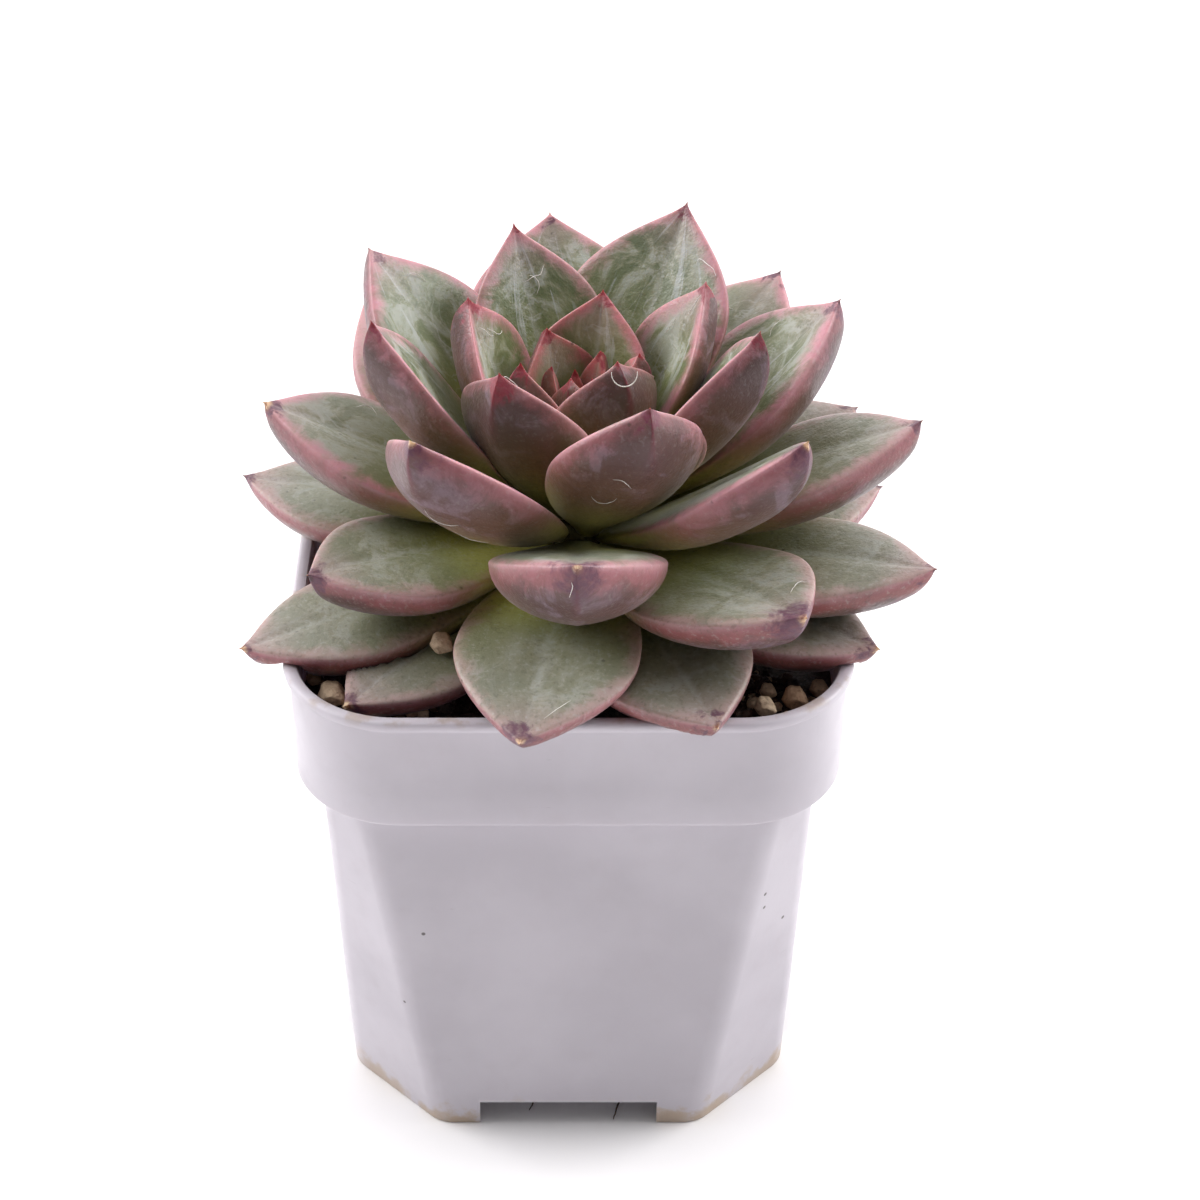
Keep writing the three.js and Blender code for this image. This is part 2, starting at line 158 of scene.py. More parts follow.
class Paint:
    """A node material being made. Each call adds a node and returns its output."""

    def __init__(self, name):
        self.material = bpy.data.materials.new(name)
        self.material.use_nodes = True
        self.tree = self.material.node_tree
        self.shader = self.tree.nodes["Principled BSDF"]
        self.place = self.tree.nodes.new("ShaderNodeTexCoord").outputs["Object"]

    def feed(self, socket, value):
        if isinstance(value, bpy.types.NodeSocket):
            self.tree.links.new(value, socket)
        else:
            socket.default_value = value

    def set(self, name, value):
        self.feed(self.shader.inputs[name], value)

    def math(self, operation, *values):
        node = self.tree.nodes.new("ShaderNodeMath")
        node.operation = operation
        for socket, value in zip(node.inputs, values):
            self.feed(socket, value)
        return node.outputs[0]

    def times(self, *values):
        product = values[0]
        for value in values[1:]:
            product = self.math("MULTIPLY", product, value)
        return product

    def step(self, value, low, high, start=0.0, end=1.0):
        """Eases from start to end as value goes from low to high."""
        node = self.tree.nodes.new("ShaderNodeMapRange")
        node.interpolation_type = "SMOOTHSTEP"
        ends = {"Value": value, "From Min": low, "From Max": high, "To Min": start, "To Max": end}
        for key, number in ends.items():
            self.feed(node.inputs[key], number)
        return node.outputs[0]

    def ridge(self, value, width):
        """1 where value is 0, fading to 0 at width on either side."""
        return self.step(self.math("ABSOLUTE", value), 0.0, width, 1.0, 0.0)

    def mix(self, share, below, above):
        """The colour above, laid over the colour below by a share from 0 to 1."""
        node = self.tree.nodes.new("ShaderNodeMix")
        node.data_type = "RGBA"
        self.feed(node.inputs[0], share)
        self.feed(node.inputs[6], below)
        self.feed(node.inputs[7], above)
        return node.outputs[2]

    def attribute(self, name):
        node = self.tree.nodes.new("ShaderNodeAttribute")
        node.attribute_name = name
        return node.outputs["Fac"]

    def vector(self, x, y, z):
        node = self.tree.nodes.new("ShaderNodeCombineXYZ")
        for socket, value in zip(node.inputs, (x, y, z)):
            self.feed(socket, value)
        return node.outputs[0]

    def noise(self, scale, detail=3.0, rough=0.55, distortion=0.0, at=None):
        node = self.tree.nodes.new("ShaderNodeTexNoise")
        self.feed(node.inputs["Vector"], at or self.place)
        node.inputs["Scale"].default_value = scale
        node.inputs["Detail"].default_value = detail
        node.inputs["Roughness"].default_value = rough
        node.inputs["Distortion"].default_value = distortion
        return node.outputs["Fac"]

    def cells(self, scale):
        node = self.tree.nodes.new("ShaderNodeTexVoronoi")
        self.feed(node.inputs["Vector"], self.place)
        node.inputs["Scale"].default_value = scale
        return node.outputs["Distance"]

    def bump(self, height, depth):
        """Relief of the given depth, in millimetres."""
        node = self.tree.nodes.new("ShaderNodeBump")
        node.inputs["Strength"].default_value = 1.0
        node.inputs["Distance"].default_value = depth * MM
        self.feed(node.inputs["Height"], height)
        self.set("Normal", node.outputs[0])


def leaf_paint():
    p = Paint("leaf_skin")
    along, across, upper = p.attribute("along"), p.attribute("across"), p.attribute("upper")
    rim, tip, age = p.attribute("rim"), p.attribute("tip"), p.attribute("age")
    stain, dried, tone = p.attribute("stain"), p.attribute("dried"), p.attribute("tone")
    low, cloud, patch = p.noise(70.0, 3.0), p.noise(150.0, 6.0, 0.68, 0.8), p.noise(330.0, 5.0, 0.62, 0.5)
    fine, pits = p.noise(1500.0, 2.0, 0.6), p.noise(3200.0, 2.0, 0.6)
    vein = p.ridge(p.math("SUBTRACT", p.noise(90.0, 4.0, 0.6, 1.2), 0.5), 0.022)
    outer = p.step(age, 0.5, 0.8)
    inner = p.step(age, 0.08, 0.36, 1.0, 0.0)
    ragged = p.step(patch, 0.3, 0.7, -0.6, 0.6)
    young = p.step(age, 0.3, 0.5, 1.0, 0.0)
    middle = p.times(p.step(age, 0.12, 0.24), p.step(age, 0.62, 0.4))
    lengthwise = p.vector(p.times(along, 2.2), p.times(across, 5.0), p.times(age, 97.0))
    streaks = p.noise(1.0, 3.0, 0.6, 0.6, lengthwise)
    central = p.step(p.math("ABSOLUTE", across), 0.85, 0.5)
    streak = p.times(p.step(streaks, 0.56, 0.64), central, p.step(along, 0.35, 0.6))

    # The upper face: grey-green, yellower at the base, veiled with wax towards the tip and along the midrib.
    top = p.mix(p.step(low, 0.35, 0.65), rgb(124, 132, 100), rgb(148, 150, 126))
    top = p.mix(p.times(p.step(cloud, 0.46, 0.58), p.step(middle, 0.0, 1.0, 0.4, 0.8)), top, rgb(84, 100, 64))
    veil = p.times(p.step(cloud, 0.5, 0.4), p.step(along, 0.3, 0.7), p.step(middle, 0.0, 1.0, 0.5, 0.7))
    top = p.mix(veil, top, rgb(182, 187, 180))
    top = p.mix(p.times(streak, p.step(middle, 0.0, 1.0, 0.12, 0.62)), top, rgb(198, 204, 206))
    top = p.mix(p.times(inner, 0.85), top, rgb(132, 128, 80))
    top = p.mix(p.times(outer, 0.45), top, rgb(150, 145, 140))
    top = p.mix(p.times(p.step(along, 0.85, 0.35), 0.8), top, rgb(118, 126, 68))
    top = p.mix(p.times(p.step(along, 0.58, 0.24), 0.95), top, rgb(186, 184, 92))
    midrib = p.ridge(p.math("ADD", across, p.times(ragged, 0.05)), 0.09)
    midrib = p.times(midrib, p.step(along, 0.3, 0.6), p.step(along, 0.99, 0.85), 0.24)
    top = p.mix(midrib, top, rgb(196, 198, 192))
    veins = p.times(vein, p.ridge(across, 0.55), p.step(outer, 0.0, 1.0, 0.3, 0.1))
    top = p.mix(veins, top, rgb(206, 208, 204))
    top = p.mix(p.times(p.step(tip, 10.0, 1.0), 0.5), top, rgb(178, 148, 150))
    margin = p.math("ADD", rim, p.math("ADD", ragged, p.step(cloud, 0.3, 0.7, -0.9, 0.9)))
    edge = p.times(p.step(margin, 3.2, -0.4), p.step(along, 0.1, 0.5))
    flush = p.mix(inner, p.mix(outer, rgb(204, 142, 154), rgb(184, 148, 146)), rgb(186, 96, 100))
    top = p.mix(p.times(edge, p.step(outer, 0.0, 1.0, 0.95, 0.62)), top, flush)

    # The under face: mauve, olive towards the base, with a pale bloom in patches and a flush under the margin.
    below = p.mix(p.step(low, 0.35, 0.65), rgb(80, 52, 50), rgb(104, 72, 70))
    below = p.mix(p.times(inner, 0.7), below, rgb(104, 60, 50))
    below = p.mix(p.times(outer, 0.4), below, rgb(96, 74, 70))
    below = p.mix(p.times(middle, 0.4), below, rgb(66, 44, 46))
    bloom = p.times(p.step(cloud, 0.5, 0.38), p.step(along, 0.3, 0.7), p.step(inner, 0.0, 1.0, 0.5, 0.12))
    below = p.mix(bloom, below, rgb(142, 122, 136))
    ripe = p.times(p.step(along, 0.88, 0.5), p.step(young, 0.0, 1.0, 0.65, 0.85))
    below = p.mix(ripe, below, rgb(138, 102, 72))
    below = p.mix(p.times(p.step(along, 0.62, 0.3), 0.95), below, rgb(196, 186, 110))
    spread = p.step(age, 0.15, 0.6, 1.8, 4.4)
    strength = p.step(middle, 0.0, 1.0, 0.8, 0.6)
    blush = p.times(p.step(margin, spread, -0.4), p.step(along, 0.35, 0.75), strength)
    below = p.mix(blush, below, p.mix(inner, rgb(172, 104, 112), rgb(150, 78, 72)))
    stripe = p.times(p.step(margin, 3.4, 1.8), p.step(rim, 0.4, 1.4), p.step(along, 0.4, 0.7), outer)
    below = p.mix(p.times(stripe, 0.7), below, rgb(140, 76, 72))
    keel = p.times(p.ridge(p.math("ADD", across, p.times(ragged, 0.04)), 0.2), p.step(tip, 11.0, 1.0), 0.85)
    below = p.mix(keel, below, rgb(106, 34, 52))

    skin = p.mix(p.step(upper, -0.22, 0.2), below, top)
    # A thin pale line along the very margin of each leaf is a painted highlight: the light that the rounded edge
    # catches, painted into the colour.
    lip = p.times(p.step(rim, 0.5, 0.0), p.step(along, 0.25, 0.6), 0.14)
    skin = p.mix(lip, skin, rgb(214, 176, 180))
    dull = p.times(p.step(fine, 0.54, 0.72), p.step(outer, 0.0, 1.0, 0.12, 0.34))
    skin = p.mix(dull, skin, rgb(84, 80, 64))
    pale = p.times(p.step(fine, 0.44, 0.3), p.step(outer, 0.0, 1.0, 0.08, 0.22))
    skin = p.mix(pale, skin, rgb(190, 188, 184))
    specks = p.times(p.step(p.cells(420.0), 0.15, 0.05), p.step(patch, 0.52, 0.62), 0.6)
    skin = p.mix(specks, skin, rgb(60, 52, 42))
    reach = p.math("ADD", tip, p.times(ragged, 3.0))
    purple = p.times(p.step(p.math("DIVIDE", reach, stain), 1.1, 0.5), p.step(fine, 0.72, 0.4, 0.6, 1.0))
    skin = p.mix(p.times(purple, 0.9), skin, p.mix(young, rgb(88, 46, 70), rgb(140, 50, 66)))
    point = p.step(p.math("ADD", tip, p.times(ragged, 0.6)), p.step(dried, 0.0, 1.0, 1.0, 1.5), 0.5)
    parched = p.mix(p.step(fine, 0.4, 0.6), rgb(214, 182, 148), rgb(134, 88, 66))
    skin = p.mix(point, skin, p.mix(dried, p.mix(young, rgb(66, 32, 42), rgb(126, 28, 44)), parched))
    skin = p.mix(p.step(tone, -1.0, 1.0, 0.0, 0.14), skin, rgb(70, 62, 54))
    p.set("Base Color", skin)
    waxy = p.math("MAXIMUM", veil, bloom)
    p.set("Roughness", p.math("ADD", p.step(waxy, 0.0, 0.6, 0.38, 0.58), p.step(fine, 0.3, 0.7, -0.05, 0.05)))
    p.set("Subsurface Weight", 0.22)
    p.set("Subsurface Radius", (1.0, 0.6, 0.3))
    p.set("Subsurface Scale", 1.8 * MM)
    p.set("Sheen Weight", 0.14)
    p.set("Sheen Roughness", 0.4)
    p.set("Sheen Tint", (0.88, 0.88, 1.0, 1.0))
    grain = p.math("ADD", p.times(fine, 0.5), p.times(patch, 0.9))
    p.bump(p.math("ADD", grain, p.times(pits, 0.25)), 0.13)
    return p.material


def pot_paint():
    p = Paint("pot_plastic")
    low, mid, fine = p.noise(35.0, 4.0), p.noise(240.0, 5.0, 0.6), p.noise(2200.0, 2.0)
    split = p.tree.nodes.new("ShaderNodeSeparateXYZ")
    p.feed(split.inputs[0], p.place)
    height = split.outputs["Z"]
    white = p.mix(p.step(low, 0.35, 0.65), rgb(199, 194, 202), rgb(190, 185, 193))
    white = p.mix(p.times(p.step(mid, 0.5, 0.75), 0.1), white, rgb(180, 172, 175))
    ragged = p.math("ADD", height, p.step(mid, 0.3, 0.7, -3.2 * MM, 3.2 * MM))
    soiled = p.times(p.step(ragged, 3.6 * MM, -1.0 * MM), p.step(low, 0.3, 0.6, 0.35, 0.85))
    white = p.mix(soiled, white, rgb(176, 152, 122))
    rim_dust = p.times(p.step(height, 74.8 * MM, 76.0 * MM), p.step(mid, 0.5, 0.66), 0.24)
    white = p.mix(rim_dust, white, rgb(186, 168, 148))
    inside = p.times(p.step(mid, 0.46, 0.64), 0.36, p.attribute("inside"))
    white = p.mix(inside, white, rgb(150, 128, 108))
    specks = p.times(p.step(p.cells(150.0), 0.055, 0.03), p.step(p.noise(60.0), 0.48, 0.56), 0.85)
    white = p.mix(specks, white, rgb(62, 54, 50))
    x, y = split.outputs["X"], split.outputs["Y"]
    level = p.vector(p.times(x, 150.0), p.times(y, 150.0), p.times(height, 700.0))
    scuffs = p.noise(1.0, 4.0, 0.6, 0.4, level)
    white = p.mix(p.times(p.step(scuffs, 0.7, 0.78), 0.3), white, rgb(120, 112, 116))
    p.set("Base Color", white)
    rough = p.math("ADD", p.step(low, 0.3, 0.7, 0.32, 0.44), p.step(mid, 0.4, 0.8, 0.0, 0.14))
    p.set("Roughness", rough)
    p.set("Subsurface Weight", 0.3)
    p.set("Subsurface Radius", (1.0, 0.9, 0.9))
    p.set("Subsurface Scale", 2.5 * MM)
    p.bump(p.math("ADD", p.times(mid, 0.5), p.times(fine, 0.12)), 0.05)
    return p.material


def soil_paint(name, dark, light):
    p = Paint(name)
    low, mid, fine = p.noise(160.0, 4.0), p.noise(900.0, 4.0, 0.7), p.noise(4200.0, 2.0)
    tone = p.attribute("tone")
    colour = p.mix(p.step(mid, 0.35, 0.7), dark, light)
    colour = p.mix(p.times(p.step(low, 0.4, 0.65), 0.5), colour, dark)
    colour = p.mix(p.times(p.step(tone, 0.6, 1.0), 0.6), colour, rgb(104, 76, 54))
    colour = p.mix(p.times(p.step(fine, 0.62, 0.75), 0.4), colour, rgb(126, 108, 92))
    p.set("Base Color", colour)
    p.set("Roughness", p.step(low, 0.35, 0.7, 0.45, 0.95))
    p.bump(p.math("ADD", mid, p.times(fine, 0.5)), 0.35)
    return p.material


def gravel_paint():
    p = Paint("gravel_stone")
    tone = p.attribute("tone")
    mid, fine = p.noise(520.0, 4.0, 0.65), p.noise(2600.0, 3.0)
    colour = p.mix(tone, rgb(176, 144, 116), rgb(222, 198, 168))
    colour = p.mix(p.times(p.step(mid, 0.45, 0.7), 0.5), colour, rgb(140, 106, 84))
    colour = p.mix(p.times(p.step(fine, 0.56, 0.7), 0.35), colour, rgb(92, 72, 60))
    p.set("Base Color", colour)
    p.set("Roughness", p.step(mid, 0.3, 0.7, 0.65, 0.9))
    p.bump(p.math("ADD", mid, p.times(fine, 0.6)), 0.3)
    return p.material


def plain_fibre_paint(name, dark, light, rough):
    p = Paint(name)
    grain = p.noise(1300.0, 3.0)
    p.set("Base Color", p.mix(p.step(grain, 0.35, 0.65), dark, light))
    p.set("Roughness", p.step(grain, 0.3, 0.7, rough - 0.1, rough + 0.1))
    p.bump(grain, 0.05)
    return p.material


def floor_paint():
    p = Paint("studio_floor")
    cloud = p.noise(9.0, 3.0)
    p.set("Base Color", p.mix(p.step(cloud, 0.3, 0.7), (0.9, 0.885, 0.895, 1), (0.93, 0.92, 0.925, 1)))
    p.set("Roughness", p.step(cloud, 0.3, 0.7, 0.75, 0.85))
    return p.material


# ---- Mesh helpers ----
def add_mesh(name, points, faces, paint, attributes=None, sharp=None):
    """A smooth-shaded piece from points in millimetres, with a number at each point for each attribute."""
    mesh = bpy.data.meshes.new(name)
    mesh.from_pydata([tuple(point) for point in np.asarray(points, float) * MM], [], faces)
    for key, values in (attributes or {}).items():
        attribute = mesh.attributes.new(key, "FLOAT", "POINT")
        attribute.data.foreach_set("value", np.asarray(values, np.float32).ravel())
    mesh.shade_smooth()
    if sharp:
        mesh.set_sharp_from_angle(angle=math.radians(sharp))
    mesh.materials.append(paint)
    piece = bpy.data.objects.new(name, mesh)
    bpy.context.scene.collection.objects.link(piece)
    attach(piece, "root")
    return piece


def tube_faces(rings, around, first=0):
    """Quads that join each ring of points to the next."""
    faces = []
    for ring in range(rings - 1):
        for step in range(around):
            low = first + ring * around
            following = (step + 1) % around
            faces.append((low + step, low + following, low + around + following, low + around + step))
    return faces


def smoothstep(value, low, high):
    share = np.clip((value - low) / (high - low), 0, 1)
    return share * share * (3 - 2 * share)


# ---- Leaves ----
def growth(number):
    """A leaf's growth values, between the two stages on either side of it."""
    leaves = [stage[0] for stage in STAGES]
    columns = zip(STAGE_KEYS, zip(*STAGES))
    leaf = {key: float(np.interp(number, leaves, column)) for key, column in columns}
    nudge = dict(turn=0, reach=0, tip=0, half=0, thick=0, cup=0, curl=0, bow=0)
    nudge.update(NUDGES.get(number, {}))
    for key in ("reach", "tip", "half", "thick", "cup"):
        leaf[key] += nudge[key]
    leaf["number"] = number
    leaf["curl"] = nudge["curl"]
    leaf["bow"] = nudge["bow"]
    leaf["turn"] = math.radians(FIRST_TURN + DIVERGENCE * number + nudge["turn"])
    chord = np.array((leaf["reach"] - leaf["root"], leaf["tip"] - leaf["base"]))
    leaf["length"] = float(np.hypot(*chord))
    leaf["along"] = chord / leaf["length"]
    leaf["above"] = np.array((-leaf["along"][1], leaf["along"][0]))
    return leaf


MUCRO = 0.07  # the share of a leaf that its small hard point takes


def mucro(share):
    """The small hard point's width, tapering to a round end."""
    beyond = np.clip((share - 1 + MUCRO) / MUCRO, 0, 1)
    return np.sqrt(1 - beyond**2) * (1 - 0.35 * beyond) + 0.01


def half_width(leaf, share):
    """Half a leaf's width, widest at WIDEST and cusped towards the tip."""
    half = leaf["half"]
    narrow = min(BASE_HALF, 0.7 * half)
    inner = narrow + (half - narrow) * np.sin(np.clip(share / WIDEST, 0, 1) * math.pi / 2) ** 1.1
    beyond = np.clip((share - WIDEST) / (0.992 - WIDEST), 0, 1)
    outer = half * (1 - beyond**2.1) ** leaf["cusp"]
    point = min(0.4, 0.2 * half) * mucro(share)
    return np.where(share < WIDEST, inner, np.sqrt(outer**2 + np.where(share > WIDEST, point, 0) ** 2))


def thickness(leaf, share):
    """How deep a leaf's belly hangs under its margins."""
    thick = leaf["thick"]
    thin = min(BASE_THICK, 0.7 * thick)
    inner = thin + (thick - thin) * np.sin(np.clip(share / WIDEST, 0, 1) * math.pi / 2) ** 1.6
    beyond = np.clip((share - WIDEST) / (0.99 - WIDEST), 0, 1)
    outer = thick * (1 - beyond**3) ** 0.7
    point = min(0.55, 0.3 * thick) * mucro(share)
    return np.where(share < WIDEST, inner, np.sqrt(outer**2 + point**2))


def section(leaf, share, side, top):
    """How far a point of the leaf's surface stands over its chord."""
    # The inner leaves are keeled towards the tip, and the outer ones have round bellies.
    keel = np.interp(leaf["number"], (12, 16, 24), (0.75, 0.55, 0.2)) * smoothstep(share, 0.4, 1.0)
    under = (1 - keel) * np.abs(top) + keel * (1 - np.abs(side))
    half = half_width(leaf, share)
    thick = thickness(leaf, share)
    crown = 0.17 * thick * np.sqrt(np.clip(1 - side**4, 0, 1))
    depth = np.where(top > 0, crown, -thick * under)
    sag = leaf["curl"] * leaf["length"] * 4 * share * (1 - share)
    return side**2 * leaf["cup"] * half + depth - sag


def bow(leaf, share):
    """How far a leaf bends sideways from its chord."""
    return leaf["bow"] * leaf["length"] * 4 * share * (1 - share)


def to_frame(leaf, share, lateral, up):
    """Places on a leaf, along it, across it and over its chord, as points in the part's frame."""
    lateral = lateral + bow(leaf, share)
    out = share * leaf["length"] * (1 + 0.01 * share)
    radial = leaf["root"] + leaf["along"][0] * out + leaf["above"][0] * up
    height = leaf["base"] + leaf["along"][1] * out + leaf["above"][1] * up
    cos, sin = math.cos(leaf["turn"]), math.sin(leaf["turn"])
    x, y = cos * radial - sin * lateral, sin * radial + cos * lateral
    return np.stack((ROSETTE.x + x, ROSETTE.y + y, height), -1)


def press(points, lower, inner, margin):
    """Moves points that lie inside an inner leaf down to its under face."""
    cos, sin = math.cos(inner["turn"]), math.sin(inner["turn"])
    x, y = points[:, 0] - ROSETTE.x, points[:, 1] - ROSETTE.y
    radial, lateral = cos * x + sin * y - inner["root"], -sin * x + cos * y
    height = points[:, 2] - inner["base"]
    share = (inner["along"][0] * radial + inner["along"][1] * height) / inner["length"]
    up = inner["above"][0] * radial + inner["above"][1] * height
    bounded = np.clip(share, 0, 1)
    lateral = lateral - bow(inner, bounded)
    half = half_width(inner, bounded)
    side = np.clip(lateral / half, -1, 1)
    top = np.sqrt(1 - side**2)
    floor = section(inner, bounded, side, -top) - margin
    ceiling = section(inner, bounded, side, top)
    inside = (share > 0.02) & (share < 0.99) & (np.abs(lateral) < half)
    inside &= (up > floor) & (up < ceiling + margin)
    drop = np.where(inside, up - floor, 0) + np.where(inside & lower, 0.25, 0)
    out, rise = inner["above"]
    away = np.stack((out * cos * drop, out * sin * drop, rise * drop), -1)
    return points - away


def off_rim(points):
    """Lifts points that lie in the pot's rim, or hang close outside it, so that the leaf rests on the rim."""
    flat = np.abs(points[:, :2] - np.array(AXIS[:2])) - (POT["lip_half"] - POT["lip_radius"])
    distance = np.hypot(*np.maximum(flat, 0).T) + np.minimum(flat.max(1), 0) - POT["lip_radius"]
    inward = -(POT["lip_out"] + POT["wall"]) - distance
    floor = POT["height"] + GAP - 0.45 * np.maximum(distance, 0) - 1.6 * np.maximum(inward, 0)
    points[:, 2] = np.maximum(points[:, 2], floor)
    return points


RINGS = 60
SIDES = 44
WAVY_MARGIN = 0.022  # shares of a leaf's half width
SWELL = 0.012
CREASE = 0.03
HOOK = 0.9  # how far a tip can bend up
PRESS_MARGIN = 0.08  # the clearance kept under an inner leaf
FAR_FROM_TIP = 30  # the distance stated at the middle of a leaf's base
leaves = [growth(number) for number in range(1, LEAVES + 1)]


def make_leaf(leaf, paint):
    number = leaf["number"]
    chance = random.Random(SEED + number)
    share = 1 - (1 - np.linspace(0, 1, RINGS)[:, None] * 0.9999) ** 1.45
    angle = -2 * math.pi * np.arange(SIDES)[None, :] / SIDES
    side, top = np.cos(angle) + 0 * share, np.sin(angle) + 0 * share
    # Slow swells and a slightly wavy margin, so that no two leaves are alike.
    waves = [(chance.uniform(3, 8), chance.uniform(0, 6.3), chance.uniform(0.5, 2.5)) for _ in range(4)]
    swell = sum(np.sin(pace * share * 2 + phase + turns * side) for pace, phase, turns in waves) / 4
    ease = np.sin(np.clip(share, 0, 1) * math.pi) ** 0.7
    half = half_width(leaf, share)
    wave = np.sin(7 * share + waves[0][1] + 1.5 * np.sign(side))
    margin = 1 + WAVY_MARGIN * ease * wave * np.abs(side) ** 3
    lateral = side * half * margin
    up = section(leaf, share, side, top) + SWELL * leaf["half"] * ease * swell
    # A faint crease runs along the middle of the upper face.
    crease = np.exp(-((side / 0.1) ** 2)) * np.clip(top, 0, 1) * smoothstep(share, 0.15, 0.5)
    up -= CREASE * leaf["half"] * crease * (1 - smoothstep(share, 0.85, 1))
    bend = HOOK * chance.uniform(0.3, 1) * smoothstep(share, 0.93, 1.0)
    up += bend * min(1, leaf["half"] / 8) * 0.6
    points = to_frame(leaf, share, lateral, up).reshape(-1, 3)
    lower = (top <= 0).ravel()
    for inner in leaves[: number - 1]:
        points = press(points, lower, inner, PRESS_MARGIN)
    points = off_rim(points)

    grid_share = (share + 0 * side).ravel()
    grid = points.reshape(RINGS, SIDES, 3)
    margins = np.where((side < 0)[..., None], grid[:, SIDES // 2][:, None], grid[:, 0][:, None])
    tip_point = to_frame(leaf, np.array([1.0]), np.array([0.0]), np.array([0.0]))[0]
    attributes = {
        "along": grid_share,
        "across": side.ravel(),
        "upper": top.ravel(),
        "rim": np.linalg.norm(grid - margins, axis=-1).ravel(),
        "tip": np.linalg.norm(points - tip_point, axis=1),
    }
    count = len(points)
    base_point = points[:SIDES].mean(0)
    end_point = points[-SIDES:].mean(0)
    points = np.vstack((points, base_point, end_point))
    end_values = {"along": (0, 1), "across": (0, 0), "upper": (0, 0), "rim": (1, 0), "tip": (FAR_FROM_TIP, 0)}
    for key, ends in end_values.items():
        attributes[key] = np.append(attributes[key], ends)
    constants = {"age": number / LEAVES, "stain": STAINS.get(number, min(1.9, 0.9 + 0.08 * number)),
                 "dried": float(number in DRIED), "tone": chance.uniform(-1, 1)}
    for key, value in constants.items():
        attributes[key] = np.full(count + 2, value)
    faces = tube_faces(RINGS, SIDES)
    for step in range(SIDES):
        following = (step + 1) % SIDES
        faces.append((following, step, count))
        faces.append((count - SIDES + step, count - SIDES + following, count + 1))
    piece = add_mesh(f"leaf_{number:02d}_fine", points, faces, paint, attributes=attributes)
    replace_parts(piece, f"leaf_{number:02d}")


# ---- Pot ----
OUTLINE_STEPS = 160
INSIDE_FROM = 24  # the first of the pot's levels that lies inside it
BAND_TAPER = 0.2  # how much narrower the band is at its bottom
CUTTER_REACH = 60


def outline(half, chamfer, radius):
    """A square with chamfered corners, each of its eight corners an arc."""
    quarter = OUTLINE_STEPS // 4
    points = []
    near = half - radius
    far = math.sqrt(2) * (chamfer - radius) - near
    for step in range(OUTLINE_STEPS):
        within = step % quarter
        second = within >= quarter // 2
        angle = (within - second) / (quarter - 2) * math.pi / 2
        x, y = (far, near) if second else (near, far)
        x, y = x + radius * math.cos(angle), y + radius * math.sin(angle)
        for _ in range(step // quarter):
            x, y = -y, x
        points.append((x, y))
    return np.array(points)


def body_outline(height, inset):
    share = height / POT["band_bottom"]
    half = POT["base_half"] + (POT["top_half"] - POT["base_half"]) * share
    chamfer = CHAMFER_BASE + (CHAMFER_TOP - CHAMFER_BASE) * share
    return outline(half - inset, chamfer - inset, POT["body_radius"] - inset)


def band_outline(inset):
    half, radius = POT["lip_half"] - inset, POT["lip_radius"] - inset
    return outline(half, (half - radius) * math.sqrt(2) + radius - 0.02, radius)


def outline_solid(levels):
    """Points and faces of a closed solid through outlines at heights, with a fan at each end."""
    points = [np.column_stack((ring, np.full(len(ring), z))) for z, ring in levels]
    count = OUTLINE_STEPS * len(levels)
    faces = tube_faces(len(levels), OUTLINE_STEPS)
    points.append(np.array([[0, 0, levels[0][0]], [0, 0, levels[-1][0]]]))
    for step in range(OUTLINE_STEPS):
        following = (step + 1) % OUTLINE_STEPS
        faces.append((following, step, count))
        faces.append((count - OUTLINE_STEPS + step, count - OUTLINE_STEPS + following, count + 1))
    return np.vstack(points) + np.array(AXIS), faces


def cut_with(piece, cutters):
    """Cuts closed bodies out of a piece."""
    for cutter in cutters:
        modifier = piece.modifiers.new("cut", "BOOLEAN")
        modifier.operation = "DIFFERENCE"
        modifier.solver = "EXACT"
        modifier.object = cutter


def apply_modifiers(piece):
    graph = bpy.context.evaluated_depsgraph_get()
    old = piece.data
    solved = piece.evaluated_get(graph)
    piece.data = bpy.data.meshes.new_from_object(solved, preserve_all_data_layers=True, depsgraph=graph)
    piece.modifiers.clear()
    bpy.data.meshes.remove(old)


def make_box(name, low, high):
    builder = bmesh.new()
    bmesh.ops.create_cube(builder, size=1)
    middle = [(a + b) / 2 * MM for a, b in zip(low, high)]
    size = [(b - a) * MM for a, b in zip(low, high)]
    for vertex in builder.verts:
        vertex.co = Vector([m + s * c for m, s, c in zip(middle, size, vertex.co)])
    mesh = bpy.data.meshes.new(name)
    builder.to_mesh(mesh)
    builder.free()
    piece = bpy.data.objects.new(name, mesh)
    bpy.context.scene.collection.objects.link(piece)
    return piece


def make_drain(x, y):
    builder = bmesh.new()
    radius = POT["drain"] * MM
    bmesh.ops.create_cone(builder, cap_ends=True, segments=40, radius1=radius, radius2=radius, depth=12 * MM)
    mesh = bpy.data.meshes.new("drain")
    builder.to_mesh(mesh)
    builder.free()
    piece = bpy.data.objects.new("drain", mesh)
    piece.location = (AXIS + Vector((x, y, POT["foot_height"] + POT["floor"] / 2))) * MM
    bpy.context.scene.collection.objects.link(piece)
    return piece


